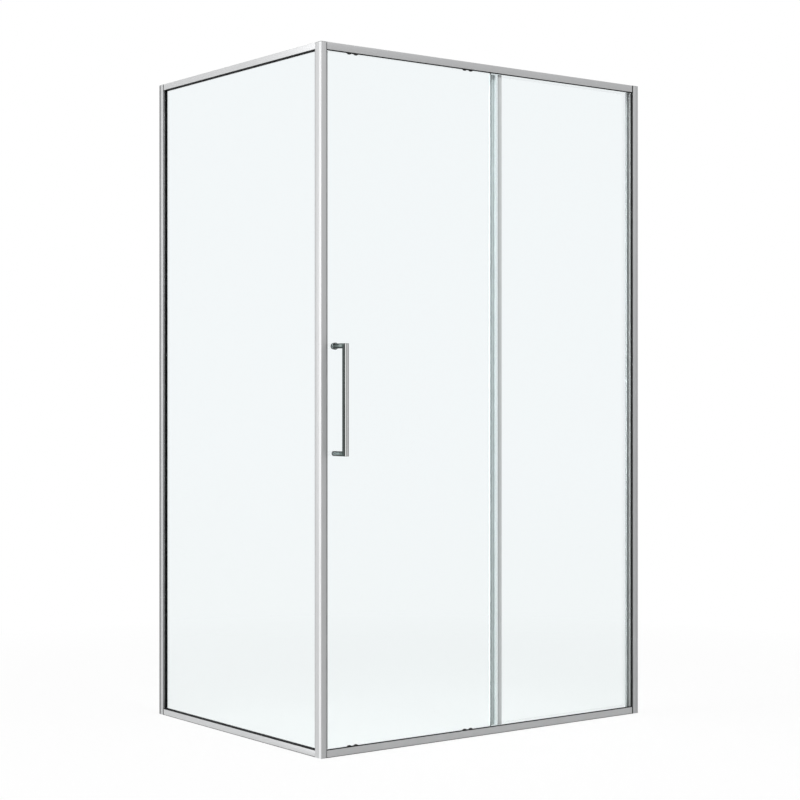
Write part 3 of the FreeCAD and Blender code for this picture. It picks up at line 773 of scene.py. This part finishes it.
def row_tree(name, sizes, shape_of):
    """Geometry tree of a shape set in a row of equal steps; its sizes are named inputs."""
    tree = bpy.data.node_groups.new(name, "GeometryNodeTree")
    wanted = [(label, "NodeSocketFloat", size) for label, size in sizes.items()]
    wanted.extend(ROW_INPUTS)
    for label, kind, default in wanted:
        socket = tree.interface.new_socket(label, in_out="INPUT", socket_type=kind)
        if default is not None:
            socket.default_value = default
    tree.interface.new_socket("Geometry", in_out="OUTPUT", socket_type="NodeSocketGeometry")
    web = Tree(tree)
    labels = tuple(label for label, _, _ in wanted)
    value = dict(zip(labels, web.node("NodeGroupInput", {}, {}, labels)))
    shape = shape_of(web, value)
    line = {"Count": value["Count"], "Start Location": value["Start"], "Offset": value["Step"]}
    spots = web.node("GeometryNodeMeshLine", {"mode": "OFFSET"}, line)
    turn = web.node("FunctionNodeEulerToRotation", {}, {"Euler": value["Turn"]})
    row = {"Points": spots, "Instance": shape, "Rotation": turn}
    row = web.node("GeometryNodeInstanceOnPoints", {}, row)
    row = web.node("GeometryNodeRealizeInstances", {}, {"Geometry": row})
    row = {"Geometry": row, "Material": value["Finish"]}
    row = web.node("GeometryNodeSetMaterial", {}, row)
    web.node("NodeGroupOutput", {}, {"Geometry": row})
    return tree


def lifted(web, shape, height):
    """A shape raised along its own axis."""
    lift = web.node("ShaderNodeCombineXYZ", {}, {"Z": height})
    return web.node("GeometryNodeTransform", {}, {"Geometry": shape, "Translation": lift})


def round_head(web, value):
    """Low round head with a hexagonal recess, cut in millimetres and then scaled to metres."""
    labels = ("Radius", "Height", "Round", "Recess", "Recess Depth")
    radius, height, rim, recess, drop = (value[label] / MM for label in labels)
    barrel = {"Vertices": HEAD_SIDES, "Radius": radius, "Depth": height - rim}
    barrel, top = web.node("GeometryNodeMeshCylinder", {}, barrel, ("Mesh", "Top"))
    crown = {"Mesh": barrel, "Selection": top, "Offset Scale": rim}
    crown, top = web.node("GeometryNodeExtrudeMesh", {}, crown, ("Mesh", "Top"))
    body = {"Geometry": crown, "Selection": top, "Scale": (radius - rim) / radius}
    body = lifted(web, web.node("GeometryNodeScaleElements", {}, body), 0.5 * (height - rim))
    punch = {"Vertices": HEX, "Radius": recess, "Depth": 2.0 * drop}
    punch = lifted(web, web.node("GeometryNodeMeshCylinder", {}, punch), height)
    cut = {"Mesh 1": body, "Mesh 2": punch}
    head = web.node("GeometryNodeMeshBoolean", {"operation": "DIFFERENCE"}, cut)
    return web.node("GeometryNodeTransform", {}, {"Geometry": head, "Scale": (MM, MM, MM)})


def arched_guard(web, value):
    """Guard over a lobe of a carriage: a flat bar swept along an arc."""
    arch = {
        "Resolution": ARCH_STEPS,
        "Radius": value["Radius"],
        "Start Angle": ARCH_START,
        "Sweep Angle": ARCH_SWEEP,
    }
    arch = web.node("GeometryNodeCurveArc", {"mode": "RADIUS"}, arch)
    bar = {"Width": value["Thickness"], "Height": value["Depth"]}
    bar = web.node("GeometryNodeCurvePrimitiveQuadrilateral", {"mode": "RECTANGLE"}, bar)
    swept = {"Curve": arch, "Profile Curve": bar, "Fill Caps": True}
    return web.node("GeometryNodeCurveToMesh", {}, swept)


def put_row(name, tree, body, material, inputs):
    """A row of heads or guards as one plain mesh on one body."""
    holder = bpy.data.objects.new(name + "_holder", bpy.data.meshes.new(name + "_holder"))
    bpy.context.collection.objects.link(holder)
    modifier = holder.modifiers.new("row", "NODES")
    modifier.node_group = tree
    sockets = [item for item in tree.interface.items_tree if item.in_out == "INPUT"]
    identifiers = {item.name: item.identifier for item in sockets}
    for label, value in {**inputs, "Finish": material}.items():
        modifier[identifiers[label]] = value
    mesh = evaluated(holder)
    smooth(mesh)
    show(name, mesh, body, material)


COVER = {
    "Radius": 4.4 * MM,
    "Height": 2.2 * MM,
    "Round": 0.9 * MM,
    "Recess": 1.5 * MM,
    "Recess Depth": 0.5 * MM,
}
STILE_SCREW = {
    "Radius": 3.2 * MM,
    "Height": 1.3 * MM,
    "Round": 0.6 * MM,
    "Recess": 1.2 * MM,
    "Recess Depth": 0.8 * MM,
}
BOLT_DRIVE = {
    "Radius": 3.4 * MM,
    "Height": 0.7 * MM,
    "Round": 0.3 * MM,
    "Recess": 1.6 * MM,
    "Recess Depth": 0.6 * MM,
}
CLAMP_SCREW = {
    "Radius": 2.3 * MM,
    "Height": 0.25 * MM,
    "Round": 0.1 * MM,
    "Recess": 1.1 * MM,
    "Recess Depth": 0.2 * MM,
}
GUARD_SIZES = {"Radius": 10.0 * MM, "Thickness": 3.0 * MM, "Depth": 2.0 * MM}
hex_heads = row_tree("hex_socket_heads", COVER, round_head)
lobe_guards = row_tree("lobe_guards", GUARD_SIZES, arched_guard)

# Turns of a row's shapes: before its turn, a head rises along +Z and an arch along +Y.
QUARTER = 0.5 * math.pi
TO_BACK = (-QUARTER, 0.0, 0.0)
TO_RIGHT = (0.0, QUARTER, 0.0)
ARCH_UP = (QUARTER, 0.0, 0.0)
ARCH_DOWN = (-QUARTER, 0.0, 0.0)

LOCK_LOW = 120.0 * MM
LOCK_MIDDLE = 975.0 * MM
LOCK_COUNT = 3
FRONT_LOCK_INSET = 10.5 * MM
SIDE_LOCK_INSET = 12.0 * MM
lock_rise = Vector((0.0, 0.0, LOCK_MIDDLE - LOCK_LOW))
front_wall, side_wall = high("front_wall_profile"), high("side_wall_profile")
front_lock = Vector((front_wall.x - FRONT_LOCK_INSET, front_wall.y, LOCK_LOW))
side_lock = Vector((side_wall.x, side_wall.y - SIDE_LOCK_INSET, LOCK_LOW))
for name, start, turn in (
    ("front_locking_caps", front_lock, TO_BACK),
    ("side_locking_caps", side_lock, TO_RIGHT),
):
    row = {**COVER, "Count": LOCK_COUNT, "Start": start, "Step": lock_rise, "Turn": turn}
    put_row(name, hex_heads, "root", cap_grey, row)

STILE_SCREW_COUNT = 3
STILE_SCREW_LOW = 150.0 * MM
STILE_SCREW_RISE = 825.0 * MM
STILE_SCREW_INSET = 3.0 * MM
stile_row = {
    **STILE_SCREW,
    "Count": STILE_SCREW_COUNT,
    "Start": Vector((high("corner_post").x, stile_start + STILE_SCREW_INSET, STILE_SCREW_LOW)),
    "Step": Vector((0.0, 0.0, STILE_SCREW_RISE)),
    "Turn": TO_RIGHT,
}
put_row("stile_screws", hex_heads, "root", screw_steel, stile_row)

LOW_ROSETTE = 2.4 * MM
HIGH_ROSETTE = 3.0 * MM
glass_front, glass_back = low("door_glass").y, high("door_glass").y
for name, z, depth in (
    ("low_bolt_drive", bar_middle - leg_offset, LOW_ROSETTE),
    ("high_bolt_drive", bar_middle + leg_offset, HIGH_ROSETTE),
):
    seat = Vector((bar_left + 0.5 * BAR, glass_back + depth, z))
    row = {**BOLT_DRIVE, "Count": 1, "Start": seat, "Turn": TO_BACK}
    put_row(name, hex_heads, "door", bolt_metal, row)

CLAMP_SCREW_SPACING = 18.0 * MM
LOBE_RADIUS = 9.6 * MM
PLATE = 2.2 * MM
GUARD = 1.7 * MM
GUARD_INSET = 0.2 * MM
guard_row = {
    "Radius": LOBE_RADIUS - GUARD_INSET + 0.5 * GUARD,
    "Thickness": GUARD,
    "Depth": PLATE - 2.0 * GUARD_INSET,
    "Count": 2,
}
guard_middle = glass_front - 0.5 * PLATE
for level, arch_turn in (("lower", ARCH_UP), ("upper", ARCH_DOWN)):
    plates = level + "_carriages"
    hub = [wheel_centres["%s_wheel_%d" % (level, number)].x for number in (1, 2, 3, 4)]
    plate_z = 0.5 * (low(plates).z + high(plates).z)
    for name, first, last in (("leading", hub[0], hub[1]), ("trailing", hub[2], hub[3])):
        centre = 0.5 * (first + last)
        guard = {
            **guard_row,
            "Start": Vector((first, guard_middle, plate_z)),
            "Step": Vector((last - first, 0.0, 0.0)),
            "Turn": arch_turn,
        }
        piece = "%s_%s_guards" % (level, name)
        put_row(piece, lobe_guards, "door", carriage_grey, guard)
        screws = {
            **CLAMP_SCREW,
            "Count": 2,
            "Start": Vector((centre - 0.5 * CLAMP_SCREW_SPACING, high(plates).y, plate_z)),
            "Step": Vector((CLAMP_SCREW_SPACING, 0.0, 0.0)),
            "Turn": TO_BACK,
        }
        piece = "%s_%s_clamp_screws" % (level, name)
        put_row(piece, hex_heads, "door", screw_steel, screws)

# ---------------------------------------------------------------- turned wheels

WHEEL_SEGMENTS = 56
WHEEL_GROOVE = 0.35 * MM
GROOVE_SLOPE = 0.1 * MM
WHEEL_ROUND = 0.3 * MM
TREAD_RADIUS = 5.7 * MM
FLANGE_RADIUS = 7.9 * MM
FLANGE_WIDTH = 1.0 * MM
BORE = 1.55 * MM
HUB_RADIUS = 3.2 * MM
RACE_RADIUS = 4.3 * MM


def wheel_outline(front, back):
    """Section of a wheel, from its bore round to its flange; a sunk ring marks its bearing."""
    step = back - FLANGE_WIDTH
    return (
        (BORE, back),
        (BORE, front),
        (HUB_RADIUS, front),
        (HUB_RADIUS + GROOVE_SLOPE, front + WHEEL_GROOVE),
        (RACE_RADIUS, front + WHEEL_GROOVE),
        (RACE_RADIUS + GROOVE_SLOPE, front),
        (TREAD_RADIUS - WHEEL_ROUND, front),
        (TREAD_RADIUS, front + WHEEL_ROUND),
        (TREAD_RADIUS, step),
        (FLANGE_RADIUS - WHEEL_ROUND, step),
        (FLANGE_RADIUS, step + WHEEL_ROUND),
        (FLANGE_RADIUS, back - WHEEL_ROUND),
        (FLANGE_RADIUS - WHEEL_ROUND, back),
    )


for wheel, centre in wheel_centres.items():
    axis = Vector((centre.x, 0.0, centre.z))
    name = wheel + "_turned"
    outline = wheel_outline(low(wheel).y, high(wheel).y)
    acetal = turned_acetal("turned_acetal_" + wheel, centre)
    mesh = turned(name, outline, axis, WHEEL_SEGMENTS)
    piece = show(name, mesh, carriers[wheel], acetal)
    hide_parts(wheel)

# ---------------------------------------------------------------- eased frame and handle

EDGE = 0.35 * MM
HANDLE_EDGE = 0.25 * MM
BOLT_EDGE = 0.8 * MM
CARRIAGE_EDGE = 0.3 * MM
for node, material in rail_finish.items():
    eased(node, EDGE, material)
for node in ("corner_cap", "wall_profile_caps"):
    eased(node, EDGE, cap_grey)
eased("handle", HANDLE_EDGE, handle_metal)
eased("handle_pad", HANDLE_EDGE, pad_black)
eased("handle_bolts", BOLT_EDGE, bolt_metal)
for node in ("upper_carriages", "lower_carriages"):
    eased(node, CARRIAGE_EDGE, carriage_grey)

# ---------------------------------------------------------------- room, lamps and camera


SHADOW_REACH = 2.6
SHADOW_SHARE = 0.13
ROOM_LIGHT = 0.45


def floor_finish(tree):
    """Pale floor: near the object it keeps the shadow, and further off it is the white ground."""
    x, y, _ = tree.parts(tree.place())
    away = ((x * x + y * y) ** 0.5 / SHADOW_REACH).kept() ** 2.0
    seen = tree.directly_seen()
    pale = tree.blend(grey(0.62), grey(0.97), seen)
    lit = tree.node("ShaderNodeBsdfDiffuse", {}, {"Color": pale})
    glow = tree.node("ShaderNodeEmission", {}, {"Color": grey(1.0), "Strength": 1.0})
    share = seen * (1.0 - SHADOW_SHARE + SHADOW_SHARE * away).kept()
    return tree.node("ShaderNodeMixShader", {}, {0: share, 1: lit, 2: glow})


FLOOR_HALF = 20.0
FLOOR_DROP = 0.3 * MM
ground = bmesh.new()
bmesh.ops.create_grid(ground, x_segments=8, y_segments=8, size=FLOOR_HALF)
ground_mesh = bpy.data.meshes.new("floor")
ground.to_mesh(ground_mesh)
ground.free()
ground_mesh.transform(Matrix.Translation((0.0, 0.0, -FLOOR_DROP)))
ground_mesh.materials.append(finish("pale_floor", floor_finish))
floor = bpy.data.objects.new("floor", ground_mesh)
bpy.context.collection.objects.link(floor)

scene = bpy.context.scene
scene.view_settings.view_transform = "Standard"
scene.world = bpy.data.worlds.new("white_room")
scene.world.use_nodes = True
room = Tree(scene.world.node_tree)
strength = ROOM_LIGHT + (1.0 - ROOM_LIGHT) * room.directly_seen()
light = room.node("ShaderNodeBackground", {}, {"Color": grey(1.0), "Strength": strength})
room.node("ShaderNodeOutputWorld", {}, {"Surface": light})


def lamp(name, spot, aim, size, power):
    """A square soft lamp that looks at a point."""
    data = bpy.data.lights.new(name, "AREA")
    data.size = size
    data.energy = power
    made = bpy.data.objects.new(name, data)
    made.location = spot
    made.rotation_euler = (Vector(aim) - Vector(spot)).to_track_quat("-Z", "Y").to_euler()
    bpy.context.collection.objects.link(made)


lamp("left_lamp", (-7.0, 1.2, 2.2), aim=(0.0, 0.0, 1.0), size=4.0, power=340.0)
lamp("front_lamp", (-0.4, -3.4, 5.2), aim=(0.0, 0.0, 1.6), size=1.6, power=110.0)

# The camera stands level in front of the corner, at the photograph's place.
CAMERA_SPOT = (-3.3865, -4.4664, 0.980)
CAMERA_TURN = math.radians(37.05)
SENSOR = 36.0
LENS = 81.44
RISE = -0.0025
camera_data = bpy.data.cameras.new("camera")
camera_data.sensor_width = SENSOR
camera_data.lens = LENS
camera_data.shift_y = RISE
camera = bpy.data.objects.new("camera", camera_data)
camera.location = CAMERA_SPOT
camera.rotation_euler = (QUARTER, 0.0, -CAMERA_TURN)
bpy.context.collection.objects.link(camera)
scene.camera = camera
